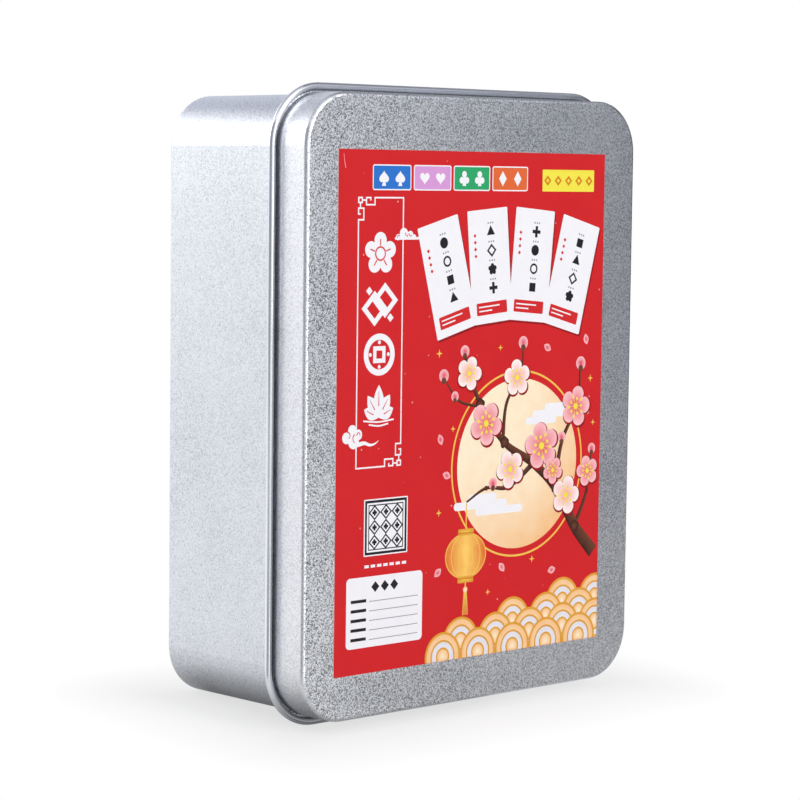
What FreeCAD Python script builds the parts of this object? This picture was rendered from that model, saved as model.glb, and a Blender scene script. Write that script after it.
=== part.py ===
import FreeCAD, Part
import math
import os

import Sketcher

# A card game in a drawn tinplate box that stands on its short end.
# X runs across the lid, Y runs from the lid's face to the tray's back, and Z is up.
# The origin is at the middle of the footprint, on the surface that the lid's bead stands on.

STACK_NAMES = ("lower", "middle", "upper")

# Driving dimensions in millimetres, and the number of card stacks
SIZES = {
    "lid_width": 91.0,
    "lid_height": 120.0,
    "lid_corner": 10.4,
    "lid_edge": 0.8,
    "lid_skirt": 9.3,
    "bead_diameter": 1.4,
    "bead_reach": 1.8,
    "sheet": 0.28,
    "fit_gap": 0.12,
    "tin_depth": 41.7,
    "tray_edge": 1.5,
    "rim_diameter": 1.5,
    "seat_gap": 0.1,
    "curl_gap": 0.1,
    "label_left_margin": 7.85,
    "label_right_margin": 9.3,
    "label_bottom_margin": 8.75,
    "label_top_margin": 10.8,
    "label_thickness": 0.12,
    "card_thickness": 0.6,
    "card_corner": 3.0,
    "card_play": 0.4,
    "stack_gap": 0.5,
    "stack_unevenness": 0.1,
    "headroom": 6.0,
    "stack_count": len(STACK_NAMES),
}

# Derived sizes, written as expressions of the driving dimensions
FACE_Y = "((Sizes.label_thickness - Sizes.tin_depth) / 2)"
SKIRT_END_Y = f"({FACE_Y} + Sizes.lid_skirt)"
MIDDLE_Z = "(Sizes.bead_reach + Sizes.lid_height / 2)"
BEAD_RADIUS = "(Sizes.bead_diameter / 2)"
BEAD_X = f"(Sizes.lid_width / 2 + Sizes.bead_reach - {BEAD_RADIUS})"
BEAD_ROOT_X = "((Sizes.lid_width - Sizes.sheet) / 2)"
RIM_RADIUS = "(Sizes.rim_diameter / 2)"

TRAY_INSET = "(Sizes.sheet + Sizes.fit_gap)"
TRAY_WIDTH = f"(Sizes.lid_width - 2 * {TRAY_INSET})"
TRAY_HEIGHT = f"(Sizes.lid_height - 2 * {TRAY_INSET})"
TRAY_CORNER = f"(Sizes.lid_corner - {TRAY_INSET})"
RIM_Y = f"({FACE_Y} + Sizes.sheet + Sizes.seat_gap + {RIM_RADIUS})"
TRAY_WALL = f"({FACE_Y} + Sizes.tin_depth - {RIM_Y})"
FLOOR_Y = f"({FACE_Y} + Sizes.tin_depth - Sizes.sheet)"

MOUTH_WIDTH = f"({TRAY_WIDTH} - 2 * Sizes.rim_diameter)"
MOUTH_HEIGHT = f"({TRAY_HEIGHT} - 2 * Sizes.rim_diameter)"
MOUTH_CORNER = f"({TRAY_CORNER} - Sizes.rim_diameter)"
# A card's corner passes the mouth's rounder corner by card_play, which sets the margin along the sides
CORNER_STEP = f"({MOUTH_CORNER} - Sizes.card_corner)"
CARD_MARGIN = f"({CORNER_STEP} - ({CORNER_STEP} - Sizes.card_play) / sqrt(2))"
CARD_LENGTH = f"({MOUTH_WIDTH} - 2 * {CARD_MARGIN})"
STACKS_HEIGHT = f"({MOUTH_HEIGHT} - 2 * {CARD_MARGIN})"
CARD_WIDTH = f"(({STACKS_HEIGHT} + Sizes.stack_gap) / Sizes.stack_count - Sizes.stack_gap)"
CARD_COUNT = "floor((Sizes.tin_depth - 2 * Sizes.sheet - Sizes.headroom) / Sizes.card_thickness)"

LABEL_WIDTH = "(Sizes.lid_width - Sizes.label_left_margin - Sizes.label_right_margin)"
LABEL_HEIGHT = "(Sizes.lid_height - Sizes.label_bottom_margin - Sizes.label_top_margin)"

# Turn between one card and the next in the uneven edge of a stack
UNEVEN_TURN = math.radians(137.5)

# Signs of a corner's place across and upwards, from the upper right corner round to the lower right
CORNER_SIGNS = ((1, 1), (-1, 1), (-1, -1), (1, -1))
QUARTER_TURN = math.pi / 2
SKETCH_NORMAL = FreeCAD.Vector(0, 0, 1)

# An edge lies in a plane when it is no further from it than this
SAME_PLANE = 1e-4
# A hollow shell has less than this share of the volume of its block
SHELL_SHARE = 0.5

doc = FreeCAD.newDocument("card_tin")
sizes = doc.addObject("Spreadsheet::Sheet", "Sizes")
for row, (alias, value) in enumerate(SIZES.items(), start=1):
    sizes.set(f"A{row}", alias)
    sizes.set(f"B{row}", str(value))
    sizes.setAlias(f"B{row}", alias)
doc.recompute()


def size(expression):
    """The value of an expression of the driving dimensions."""
    return float(sizes.evalExpression(expression))


def origin_plane(body, role):
    return next(plane for plane in body.Origin.OriginFeatures if plane.Role == role)


def new_body(label, y, z):
    """A body named as its file, with its own origin at y and z."""
    body = doc.addObject("PartDesign::Body", label)
    body.Label = label
    body.setExpression(".Placement.Base.y", y)
    body.setExpression(".Placement.Base.z", z)
    return body


def new_sketch(body, name, role):
    sketch = body.newObject("Sketcher::SketchObject", name)
    sketch.AttachmentSupport = [(origin_plane(body, role), "")]
    sketch.MapMode = "FlatFace"
    return sketch


def bind(sketch, constraint, name, expression):
    """Add a dimension to a sketch, bound to an expression."""
    index = sketch.addConstraint(constraint)
    sketch.renameConstraint(index, name)
    sketch.setExpression(f"Constraints.{name}", expression)


def rounded_rectangle(body, name, width, height, radius):
    """An upright rectangle with round corners, centred on the body's origin, from its right side round."""
    sketch = new_sketch(body, name, "XZ_Plane")
    x = size(width) / 2
    z = size(height) / 2
    r = size(radius)
    sides = []
    arcs = []
    before = FreeCAD.Vector(x, r - z, 0)
    for quarter, (across, upward) in enumerate(CORNER_SIGNS):
        centre = FreeCAD.Vector(across * (x - r), upward * (z - r), 0)
        start = quarter * QUARTER_TURN
        corner = Part.ArcOfCircle(Part.Circle(centre, SKETCH_NORMAL, r), start, start + QUARTER_TURN)
        sides.append(sketch.addGeometry(Part.LineSegment(before, corner.StartPoint)))
        arcs.append(sketch.addGeometry(corner))
        before = corner.EndPoint
    for side, arc, next_side in zip(sides, arcs, sides[1:] + sides[:1]):
        sketch.addConstraint(Sketcher.Constraint("Tangent", side, 2, arc, 1))
        sketch.addConstraint(Sketcher.Constraint("Tangent", arc, 2, next_side, 1))
    right, top, left, bottom = sides
    for arc in arcs[1:]:
        sketch.addConstraint(Sketcher.Constraint("Equal", arcs[0], arc))
    sketch.addConstraint(Sketcher.Constraint("Symmetric", right, 1, right, 2, -1))
    sketch.addConstraint(Sketcher.Constraint("Symmetric", bottom, 1, bottom, 2, -2))
    sketch.addConstraint(Sketcher.Constraint("Horizontal", top))
    sketch.addConstraint(Sketcher.Constraint("Vertical", left))
    bind(sketch, Sketcher.Constraint("DistanceX", left, 1, right, 1, 2 * x), "width", width)
    bind(sketch, Sketcher.Constraint("DistanceY", bottom, 1, top, 1, 2 * z), "height", height)
    bind(sketch, Sketcher.Constraint("Radius", arcs[0], r), "corner", radius)
    return sketch


class Curl:
    """The ring section of a rolled edge. It leaves the sheet at the angle turn and stops short of it."""

    def __init__(self, body, name, height, centre_x, centre_y, radius, turn):
        self.sketch = new_sketch(body, name, "XY_Plane")
        self.sketch.setExpression(".AttachmentOffset.Base.z", height)
        inner_radius = f"({radius} - Sizes.sheet)"
        self.opening = f"acos(({inner_radius} - Sizes.curl_gap) / {radius})"
        self.opening_angle = math.radians(size(self.opening))
        self.centre = FreeCAD.Vector(size(centre_x), size(centre_y), 0)
        self.outer = size(radius)
        self.inner = size(inner_radius)
        self.start_angle = math.radians(turn)
        self.outer_arc = self.ring(self.outer)
        self.inner_arc = self.ring(self.inner)
        self.end_line = self.radial(self.start_angle + self.opening_angle)
        self.join(self.end_line, 1, self.inner_arc, 1)
        self.join(self.end_line, 2, self.outer_arc, 1)
        self.join(self.inner_arc, 3, self.outer_arc, 3)
        self.sketch.addConstraint(Sketcher.Constraint("PointOnObject", self.outer_arc, 3, self.end_line))
        self.bind("centre", "DistanceX", -1, 1, self.outer_arc, 3, self.centre.x, centre_x)
        self.bind("outer", "Radius", self.outer_arc, self.outer, radius)
        self.bind("inner", "Radius", self.inner_arc, self.inner, inner_radius)

    def ring(self, radius):
        circle = Part.Circle(self.centre, SKETCH_NORMAL, radius)
        start = self.start_angle + self.opening_angle
        return self.sketch.addGeometry(Part.ArcOfCircle(circle, start, self.start_angle + 2 * math.pi))

    def radial(self, angle):
        along = FreeCAD.Vector(math.cos(angle), math.sin(angle), 0)
        return self.line(self.centre + along * self.inner, self.centre + along * self.outer)

    def line(self, start, end):
        return self.sketch.addGeometry(Part.LineSegment(start, end))

    def join(self, first, first_end, second, second_end):
        self.sketch.addConstraint(Sketcher.Constraint("Coincident", first, first_end, second, second_end))

    def bind(self, name, kind, *details):
        """Add a dimension whose last detail is the expression that it follows."""
        *values, expression = details
        bind(self.sketch, Sketcher.Constraint(kind, *values), name, expression)


def rim_profile(body, name, height):
    """The section of the tray's rim: its wall's end rolled inwards into a ring."""
    curl = Curl(body, name, height, f"({TRAY_WIDTH} / 2 - {RIM_RADIUS})", "0", RIM_RADIUS, 0)
    sketch = curl.sketch
    wall_line = curl.radial(curl.start_angle)
    curl.join(wall_line, 1, curl.inner_arc, 2)
    curl.join(wall_line, 2, curl.outer_arc, 2)
    for line_end in (1, 2):
        sketch.addConstraint(Sketcher.Constraint("PointOnObject", wall_line, line_end, -1))
    sketch.addConstraint(Sketcher.Constraint("PointOnObject", curl.outer_arc, 3, -1))
    curl.bind("opening", "Angle", wall_line, 1, curl.end_line, 1, curl.opening_angle, curl.opening)
    return sketch


def bead_profile(body, name, height):
    """The section of the lid's bead: a flange out from the skirt's end, rolled forwards into a ring."""
    curl = Curl(body, name, height, BEAD_X, f"(-{BEAD_RADIUS})", BEAD_RADIUS, 90)
    sketch = curl.sketch
    root_x = size(BEAD_ROOT_X)
    front_y = curl.inner - curl.outer
    back = curl.line(FreeCAD.Vector(curl.centre.x, 0, 0), FreeCAD.Vector(root_x, 0, 0))
    front = curl.line(FreeCAD.Vector(curl.centre.x, front_y, 0), FreeCAD.Vector(root_x, front_y, 0))
    root = curl.line(FreeCAD.Vector(root_x, front_y, 0), FreeCAD.Vector(root_x, 0, 0))
    curl.join(front, 2, root, 1)
    curl.join(back, 2, root, 2)
    sketch.addConstraint(Sketcher.Constraint("Tangent", curl.outer_arc, 2, back, 1))
    sketch.addConstraint(Sketcher.Constraint("Tangent", curl.inner_arc, 2, front, 1))
    sketch.addConstraint(Sketcher.Constraint("Horizontal", back))
    sketch.addConstraint(Sketcher.Constraint("Vertical", root))
    sketch.addConstraint(Sketcher.Constraint("PointOnObject", root, 2, -1))
    curl.bind("root", "DistanceX", -1, 1, root, 2, root_x, BEAD_ROOT_X)
    curl.bind("opening", "Angle", root, 1, curl.end_line, 1, curl.opening_angle, curl.opening)
    return sketch


def edges_at(feature, y):
    """Names of the edges that lie in one plane across Y, in the feature's own frame."""
    names = []
    for number, edge in enumerate(feature.Shape.Edges, start=1):
        box = edge.BoundBox
        if max(abs(box.YMin - y), abs(box.YMax - y)) < SAME_PLANE:
            names.append(f"Edge{number}")
    return names


def round_edges(body, name, base, y, radius):
    """Round the outline that lies in the plane y, given in the body's own frame."""
    doc.recompute()
    fillet = body.newObject("PartDesign::Fillet", name)
    fillet.Base = (base, edges_at(base, y))
    fillet.setExpression("Radius", radius)
    return fillet


def drawn_shell(body, width, height, corner, depth, edge_radius, towards_back):
    """A drawn sheet box with one closed end. Returns the outline of its open end, in its own XZ plane."""
    label = body.Label
    outline = rounded_rectangle(body, f"{label}_outline", width, height, corner)
    block = body.newObject("PartDesign::Pad", f"{label}_block")
    block.Profile = outline
    block.Reversed = towards_back
    block.setExpression("Length", depth)
    doc.recompute()
    full_volume = block.Shape.Volume

    inner_width = f"({width} - 2 * Sizes.sheet)"
    inner_height = f"({height} - 2 * Sizes.sheet)"
    inner_corner = f"({corner} - Sizes.sheet)"
    hollow = body.newObject("PartDesign::Pocket", f"{label}_hollow")
    hollow.Profile = rounded_rectangle(body, f"{label}_inside", inner_width, inner_height, inner_corner)
    hollow.Reversed = not towards_back
    hollow.setExpression("Length", f"{depth} - Sizes.sheet")
    doc.recompute()
    if hollow.Shape.Volume > SHELL_SHARE * full_volume:
        raise RuntimeError(f"{label} isn't hollow")

    side = 1 if towards_back else -1
    end = side * size(depth)
    inner_end = end - side * size("Sizes.sheet")
    inner_edge = f"({edge_radius} - Sizes.sheet)"
    rounded = round_edges(body, f"{label}_outer_edge", hollow, end, edge_radius)
    round_edges(body, f"{label}_inner_edge", rounded, inner_end, inner_edge)
    return outline


def rolled_edge(body, outline, profile):
    """Sweep a rolled edge round the open end of a shell."""
    doc.recompute()
    before = body.Shape.Volume
    roll = body.newObject("PartDesign::AdditivePipe", f"{body.Label}_roll")
    roll.Profile = profile
    roll.Spine = (outline, [f"Edge{number}" for number, _ in enumerate(outline.Shape.Edges, start=1)])
    doc.recompute()
    if roll.Shape.Volume <= before:
        raise RuntimeError(f"{body.Label} has no rolled edge")


def make_lid():
    lid = new_body("lid", SKIRT_END_Y, MIDDLE_Z)
    outline = drawn_shell(
        body=lid,
        width="Sizes.lid_width",
        height="Sizes.lid_height",
        corner="Sizes.lid_corner",
        depth="Sizes.lid_skirt",
        edge_radius="Sizes.lid_edge",
        towards_back=False,
    )
    start = "(Sizes.lid_corner - Sizes.lid_height / 2)"
    rolled_edge(lid, outline, bead_profile(lid, "lid_bead_profile", start))
    return lid


def make_tray():
    tray = new_body("tray", RIM_Y, MIDDLE_Z)
    outline = drawn_shell(
        body=tray,
        width=TRAY_WIDTH,
        height=TRAY_HEIGHT,
        corner=TRAY_CORNER,
        depth=TRAY_WALL,
        edge_radius="Sizes.tray_edge",
        towards_back=True,
    )
    start = f"({TRAY_CORNER} - {TRAY_HEIGHT} / 2)"
    rolled_edge(tray, outline, rim_profile(tray, "tray_rim_profile", start))
    return tray


def make_label():
    label = doc.addObject("Part::Box", "lid_label")
    label.Label = "lid_label"
    label.setExpression("Length", LABEL_WIDTH)
    label.setExpression("Width", "Sizes.label_thickness")
    label.setExpression("Height", LABEL_HEIGHT)
    label.setExpression(".Placement.Base.x", "Sizes.label_left_margin - Sizes.lid_width / 2")
    label.setExpression(".Placement.Base.y", f"{FACE_Y} - Sizes.label_thickness")
    label.setExpression(".Placement.Base.z", "Sizes.bead_reach + Sizes.label_bottom_margin")
    return label


def stack_z(number):
    """The height of the middle of a stack, counted from 0 at the lowest."""
    step = f"({CARD_WIDTH} + Sizes.stack_gap)"
    return f"({MIDDLE_Z} + ({number} - (Sizes.stack_count - 1) / 2) * {step})"


def make_top_card(number, name):
    """The front card of a stack. Its back is in the body's own XZ plane."""
    back_y = f"({FLOOR_Y} - ({CARD_COUNT} - 1) * Sizes.card_thickness)"
    card = new_body(f"top_card_{name}", back_y, stack_z(number))
    outline = rounded_rectangle(card, f"{card.Label}_outline", CARD_LENGTH, CARD_WIDTH, "Sizes.card_corner")
    board = card.newObject("PartDesign::Pad", f"{card.Label}_board")
    board.Profile = outline
    board.setExpression("Length", "Sizes.card_thickness")
    return card


def make_stack(number, name, top_card):
    """The cards behind the front one, from the tray's floor forwards, with slightly uneven edges."""
    doc.recompute()
    card = top_card.Tip.Shape
    thickness = size("Sizes.card_thickness")
    unevenness = size("Sizes.stack_unevenness")
    cards = []
    for position in range(int(size(CARD_COUNT)) - 1):
        angle = UNEVEN_TURN * (position + number)
        across = unevenness * math.cos(angle)
        upward = unevenness * math.sin(angle)
        copy = card.copy()
        copy.translate(FreeCAD.Vector(across, -thickness * position, upward))
        cards.append(copy)
    stack = doc.addObject("Part::Feature", f"card_stack_{name}")
    stack.Label = f"card_stack_{name}"
    stack.Shape = Part.makeCompound(cards)
    place = FreeCAD.Vector(0, size(FLOOR_Y), size(stack_z(number)))
    stack.Placement = FreeCAD.Placement(place, FreeCAD.Rotation())
    return stack


subparts = [make_tray(), make_lid(), make_label()]
for stack_number, stack_name in enumerate(STACK_NAMES):
    front_card = make_top_card(stack_number, stack_name)
    subparts.append(make_stack(stack_number, stack_name, front_card))
    subparts.append(front_card)
doc.recompute()

for item in doc.Objects:
    if "Invalid" in item.State or "Error" in item.State:
        raise RuntimeError(f"{item.Label} failed: {item.State}")
for subpart in subparts:
    if subpart.Shape.isNull() or not subpart.Shape.isValid():
        raise RuntimeError(f"{subpart.Label} has no valid shape")

os.makedirs("parts", exist_ok=True)
for subpart in subparts:
    subpart.Shape.exportStep(f"parts/{subpart.Label}.step")
    print(subpart.Label, "solids", len(subpart.Shape.Solids), "volume", round(subpart.Shape.Volume, 2))
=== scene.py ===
import cmath
import math

import bpy
from mathutils import Matrix, Vector


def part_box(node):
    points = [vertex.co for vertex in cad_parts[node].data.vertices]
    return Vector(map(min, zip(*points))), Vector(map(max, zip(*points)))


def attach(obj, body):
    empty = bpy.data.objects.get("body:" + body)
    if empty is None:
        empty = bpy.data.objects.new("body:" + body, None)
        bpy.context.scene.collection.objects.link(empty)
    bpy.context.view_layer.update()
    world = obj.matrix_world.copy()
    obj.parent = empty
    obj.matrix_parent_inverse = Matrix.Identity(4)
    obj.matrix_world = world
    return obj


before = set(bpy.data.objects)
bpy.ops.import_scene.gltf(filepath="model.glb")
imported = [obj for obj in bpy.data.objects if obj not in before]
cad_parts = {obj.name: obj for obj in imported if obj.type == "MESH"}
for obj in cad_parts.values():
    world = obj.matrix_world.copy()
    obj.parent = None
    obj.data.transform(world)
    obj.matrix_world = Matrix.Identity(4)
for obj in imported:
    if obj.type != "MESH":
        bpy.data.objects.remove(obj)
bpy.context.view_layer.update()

# A tinplate card box that stands on its short end, with a printed label on its lid and cards inside.
# Prints are drawn in millimetres on their face, and everything else is in metres.
MM = 0.001

lid_low, lid_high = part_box("lid")
tray_low, tray_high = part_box("tray")
label_low, label_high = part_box("lid_label")

# Sizes of the tin that the floor and the finish follow
LID_CORNER = 10.4 * MM
BEAD_RADIUS = 0.7 * MM
BEAD_REACH = 1.8 * MM
TRAY_EDGE = 1.5 * MM
bead_y = lid_high.y - BEAD_RADIUS

# Camera, fitted to the photograph's 800 by 800 frame
IMAGE_PIXELS = 800
FOCAL_PIXELS = 2686.6
SENSOR_WIDTH = 36.0
CAMERA_TARGET = Vector((-0.702, 0.664, 60.515)) * MM
CAMERA_DISTANCE = 548.2 * MM
CAMERA_AZIMUTH = math.radians(-43.404)
CAMERA_ELEVATION = math.radians(4.714)
CAMERA_ROLL = math.radians(0.698)


def direction(azimuth, elevation):
    """A unit vector away from the tin. Azimuth 0 is ahead of the lid, and a quarter turn is to its right."""
    level = math.cos(elevation)
    return Vector((math.sin(azimuth) * level, -math.cos(azimuth) * level, math.sin(elevation)))


def add_object(name, data):
    item = bpy.data.objects.new(name, data)
    bpy.context.scene.collection.objects.link(item)
    return item


def make_camera():
    back = direction(CAMERA_AZIMUTH, CAMERA_ELEVATION)
    right = Vector((math.cos(CAMERA_AZIMUTH), math.sin(CAMERA_AZIMUTH), 0))
    up = back.cross(right)
    across = right * math.cos(CAMERA_ROLL) + up * math.sin(CAMERA_ROLL)
    upward = up * math.cos(CAMERA_ROLL) - right * math.sin(CAMERA_ROLL)
    data = bpy.data.cameras.new("camera")
    data.sensor_width = SENSOR_WIDTH
    data.lens = FOCAL_PIXELS * SENSOR_WIDTH / IMAGE_PIXELS
    camera = add_object("camera", data)
    turn = Matrix((across, upward, back)).transposed().to_4x4()
    camera.matrix_world = Matrix.Translation(CAMERA_TARGET + back * CAMERA_DISTANCE) @ turn
    bpy.context.scene.camera = camera


# Materials

def srgb(red, green, blue):
    """A linear colour from screen levels of 0 to 255."""
    linear = []
    for level in (red, green, blue):
        share = level / 255
        linear.append(share / 12.92 if share <= 0.04045 else ((share + 0.055) / 1.055) ** 2.4)
    return (*linear, 1.0)


# Most of a noise texture's values lie in this range
NOISE_RANGE = (0.3, 0.7)


class Recipe:
    """The node tree of one material, with a short call for each kind of node that it uses."""

    def __init__(self, name):
        self.material = bpy.data.materials.new(name)
        self.material.use_nodes = True
        self.nodes = self.material.node_tree.nodes
        self.links = self.material.node_tree.links
        self.shader = self.nodes["Principled BSDF"]
        coordinates = self.nodes.new("ShaderNodeTexCoord")
        self.place = coordinates.outputs["Object"]
        self.facing = coordinates.outputs["Normal"]

    def put(self, value, socket):
        """Set a socket to a number or a colour, or link another node's output to it."""
        if isinstance(value, bpy.types.NodeSocket):
            self.links.new(value, socket)
        else:
            socket.default_value = value

    def finish(self, **values):
        """Give the shader its values, named with underscores for spaces."""
        for name, value in values.items():
            self.put(value, self.shader.inputs[name.replace("_", " ")])
        return self.material

    def texture(self, kind, size):
        """A texture with features of that size in metres."""
        node = self.nodes.new(kind)
        node.inputs["Scale"].default_value = 1 / size
        self.links.new(self.place, node.inputs["Vector"])
        return node

    def noise(self, size, detail):
        node = self.texture("ShaderNodeTexNoise", size)
        node.inputs["Detail"].default_value = detail
        return node.outputs["Fac"]

    def cells(self, size):
        """Distance to the nearest of points scattered that far apart, and a random colour for each point."""
        node = self.texture("ShaderNodeTexVoronoi", size)
        return node.outputs["Distance"], node.outputs["Color"]

    def split(self, vector):
        node = self.nodes.new("ShaderNodeSeparateXYZ")
        self.put(vector, node.inputs[0])
        return node.outputs

    def math(self, operation, *values):
        node = self.nodes.new("ShaderNodeMath")
        node.operation = operation
        for value, socket in zip(values, node.inputs):
            self.put(value, socket)
        return node.outputs[0]

    def remap(self, value, low, high, start=0.0, end=1.0):
        """Move a value from one range to another, and stop it at the ends."""
        node = self.nodes.new("ShaderNodeMapRange")
        for socket, number in zip(node.inputs, (value, low, high, start, end)):
            self.put(number, socket)
        return node.outputs["Result"]

    def spread(self, noise, reach):
        """A noise as a change of up to that reach, up or down."""
        return self.remap(noise, *NOISE_RANGE, -reach, reach)

    def ramp(self, value, *colours):
        """Evenly spaced colours along a value from 0 to 1."""
        node = self.nodes.new("ShaderNodeValToRGB")
        stops = node.color_ramp.elements
        while len(stops) < len(colours):
            stops.new(0.5)
        for number, colour in enumerate(colours):
            stops[number].position = number / (len(colours) - 1)
            stops[number].color = colour
        self.put(value, node.inputs["Fac"])
        return node.outputs["Color"]

    def cover(self, share, under, over):
        """One colour over another, by a share from 0 to 1."""
        node = self.nodes.new("ShaderNodeMix")
        node.data_type = "RGBA"
        factor, first, second = (node.inputs[number] for number in (0, 6, 7))
        self.put(share, factor)
        self.put(under, first)
        self.put(over, second)
        return node.outputs[2]

    def outside(self, across, half_width, along, half_length):
        """How far a point is outside a rectangle round the origin, from its two coordinates."""
        squares = []
        for place, half in ((across, half_width), (along, half_length)):
            gap = self.math("SUBTRACT", self.math("ABSOLUTE", place), half)
            squares.append(self.math("POWER", self.math("MAXIMUM", gap, 0.0), 2.0))
        return self.math("SQRT", self.math("ADD", *squares))

    def bump(self, height, distance):
        node = self.nodes.new("ShaderNodeBump")
        node.inputs["Distance"].default_value = distance
        self.put(height, node.inputs["Height"])
        return node.outputs["Normal"]


# Frosted tinplate with a fine grain and faint clouding
GRAIN = 0.2 * MM
CLOUDING = 18 * MM
TIN_DARK = (0.10, 0.105, 0.115, 1)
TRAY_TIN = (0.765, 0.80, 0.86, 1)
# The lid's tin is painted lighter than the tray's, though both are one tinplate: painted light against the
# shade that the bead casts on the skirt
LID_TIN_WITH_PAINTED_LIGHT = (0.895, 0.913, 0.965, 1)
TIN_LIGHT = (1.0, 1.0, 1.0, 1)
# Depth of the grain on the walls, and on the lid's face at its left and right side; the deeper grain at the
# face's left is a painted glint of the light from that side
WALL_GRAIN = 0.32
FACE_GRAIN_AND_GLINT = (0.7, 0.38)
# Shares of soft noise and of specks in the grain, and of clouding in the tone
SOFT_SHARE = 0.12
SPECK_SHARE = 0.55
CLOUD_SHARE = 0.03
# Mean tone of the lid's face and of the other sheet, from 0 for dark to 1 for light
FACE_TONE = 0.37
SHEET_TONE = 0.5
RELIEF = 0.02 * MM
SHEET_ROUGHNESS = 0.3
BEAD_ROUGHNESS = 0.18
# The part of a normal along Y where the face's finish ends, and where that of the walls starts
FACE_TO_WALL = (-0.97, -0.8)
# How far beyond the skirt the bead's finish starts, and where it is complete
ROLL_START = (0.1 * MM, 0.3 * MM)
# Painted shade in the slit between the skirt and the bead: where it starts and ends beyond the skirt, and
# its tone
SLIT_SHADE_START = (0.08 * MM, 0.2 * MM)
SLIT_SHADE_END = (0.5 * MM, 0.75 * MM)
SLIT_SHADE_TONE = -0.23


def frosted_tone(recipe, smooth_share):
    """A tone from dark to light with a frosted grain, and the grain's relief.

    The grain is deepest on the lid's flat face, where it fades to the right as a painted glint that is
    strongest at the left.
    """
    across = recipe.split(recipe.place)[0]
    ahead = recipe.split(recipe.facing)[1]
    grain = recipe.spread(recipe.noise(GRAIN, 1.0), SOFT_SHARE)
    speck = recipe.split(recipe.cells(GRAIN)[1])[0]
    speckle = recipe.remap(speck, 0, 1, -SPECK_SHARE, SPECK_SHARE)
    clouds = recipe.spread(recipe.noise(CLOUDING, 3.0), CLOUD_SHARE)
    # Painted glint: the face's grain is deeper at its left, where the light falls
    face_grain_and_glint = recipe.remap(across, lid_low.x, lid_high.x, *FACE_GRAIN_AND_GLINT)
    depth = recipe.remap(ahead, *FACE_TO_WALL, face_grain_and_glint, WALL_GRAIN)
    depth = recipe.math("MULTIPLY", depth, recipe.math("SUBTRACT", 1.0, smooth_share))
    relief = recipe.math("MULTIPLY", recipe.math("ADD", grain, speckle), depth)
    base = recipe.math("ADD", clouds, recipe.remap(ahead, *FACE_TO_WALL, FACE_TONE, SHEET_TONE))
    return recipe.math("ADD", relief, base), relief


def tin_finish(recipe, colour, tone, relief, roughness):
    return recipe.finish(
        Base_Color=recipe.ramp(tone, TIN_DARK, colour, TIN_LIGHT),
        Metallic=1.0,
        Roughness=roughness,
        Normal=recipe.bump(relief, RELIEF),
    )


def tray_tin():
    """Frosted tinplate."""
    recipe = Recipe("tray_tinplate")
    tone, relief = frosted_tone(recipe, 0.0)
    return tin_finish(recipe, TRAY_TIN, tone, relief, SHEET_ROUGHNESS)


def lid_tin():
    """Frosted tinplate, smoother where it is rolled into the bead, with painted shade in the slit beside the
    bead.
    """
    recipe = Recipe("lid_tinplate_painted_light_and_shade")
    across, _, up = recipe.split(recipe.place)
    half_width = lid_high.x - BEAD_REACH - LID_CORNER
    half_height = (lid_high.z - lid_low.z) / 2 - BEAD_REACH - LID_CORNER
    above = recipe.math("SUBTRACT", up, (lid_high.z + lid_low.z) / 2)
    beyond = recipe.math("SUBTRACT", recipe.outside(across, half_width, above, half_height), LID_CORNER)
    rolled = recipe.remap(beyond, *ROLL_START)
    tone, relief = frosted_tone(recipe, rolled)
    # Painted shade: the tin is darkened in the slit between the skirt and the bead
    shade_starts = recipe.remap(beyond, *SLIT_SHADE_START)
    shade_fades = recipe.remap(beyond, *SLIT_SHADE_END, 1.0, 0.0)
    slit_shade = recipe.math("MULTIPLY", shade_starts, shade_fades)
    tone = recipe.math("MULTIPLY_ADD", slit_shade, SLIT_SHADE_TONE, tone)
    roughness = recipe.remap(rolled, 0, 1, SHEET_ROUGHNESS, BEAD_ROUGHNESS)
    # The lid's colour is painted lighter than the tray's
    return tin_finish(recipe, LID_TIN_WITH_PAINTED_LIGHT, tone, relief, roughness)


# Printed paper
FIBRE = 0.25 * MM
PRINT_ROUGHNESS = (0.36, 0.5)
PRINT_GLOSS = 0.15
PRINT_RELIEF = 0.004 * MM
# The label's uneven red and its bare paper
LABEL_RED = srgb(214, 34, 39)
LABEL_RED_DEEP = srgb(204, 28, 35)
LABEL_MOTTLE = 9 * MM
PAPER = srgb(244, 241, 236)
# Pale specks: few points have one, and their edges are shares of the spacing
SPECK_SPACING = 2.2 * MM
SPECK_CHANCE = (0.80, 0.82)
SPECK_EDGE = (0.10, 0.05)
SPECK_STRENGTH = 0.45
# The part of a normal along Y where the label's face ends, and where its cut edge starts
FACE_TO_CUT = (-0.6, -0.5)


def print_finish(recipe):
    """The shader's values for printed paper, apart from its colour."""
    fibre = recipe.noise(FIBRE, 3.0)
    return {
        "Roughness": recipe.remap(fibre, *NOISE_RANGE, *PRINT_ROUGHNESS),
        "Specular_IOR_Level": PRINT_GLOSS,
        "Normal": recipe.bump(fibre, PRINT_RELIEF),
    }


def printed_label():
    """Red print on white paper: uneven ink, tiny pale specks, and bare paper at the cut edge."""
    recipe = Recipe("printed_label")
    red = recipe.ramp(recipe.noise(LABEL_MOTTLE, 4.0), LABEL_RED_DEEP, LABEL_RED)
    distance, chance = recipe.cells(SPECK_SPACING)
    rare = recipe.remap(recipe.split(chance)[0], *SPECK_CHANCE)
    speck = recipe.math("MULTIPLY", recipe.remap(distance, *SPECK_EDGE), rare)
    inked = recipe.cover(recipe.math("MULTIPLY", speck, SPECK_STRENGTH), red, PAPER)
    front = recipe.remap(recipe.split(recipe.facing)[1], *FACE_TO_CUT, 1.0, 0.0)
    return recipe.finish(Base_Color=recipe.cover(front, PAPER, inked), **print_finish(recipe))


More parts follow.
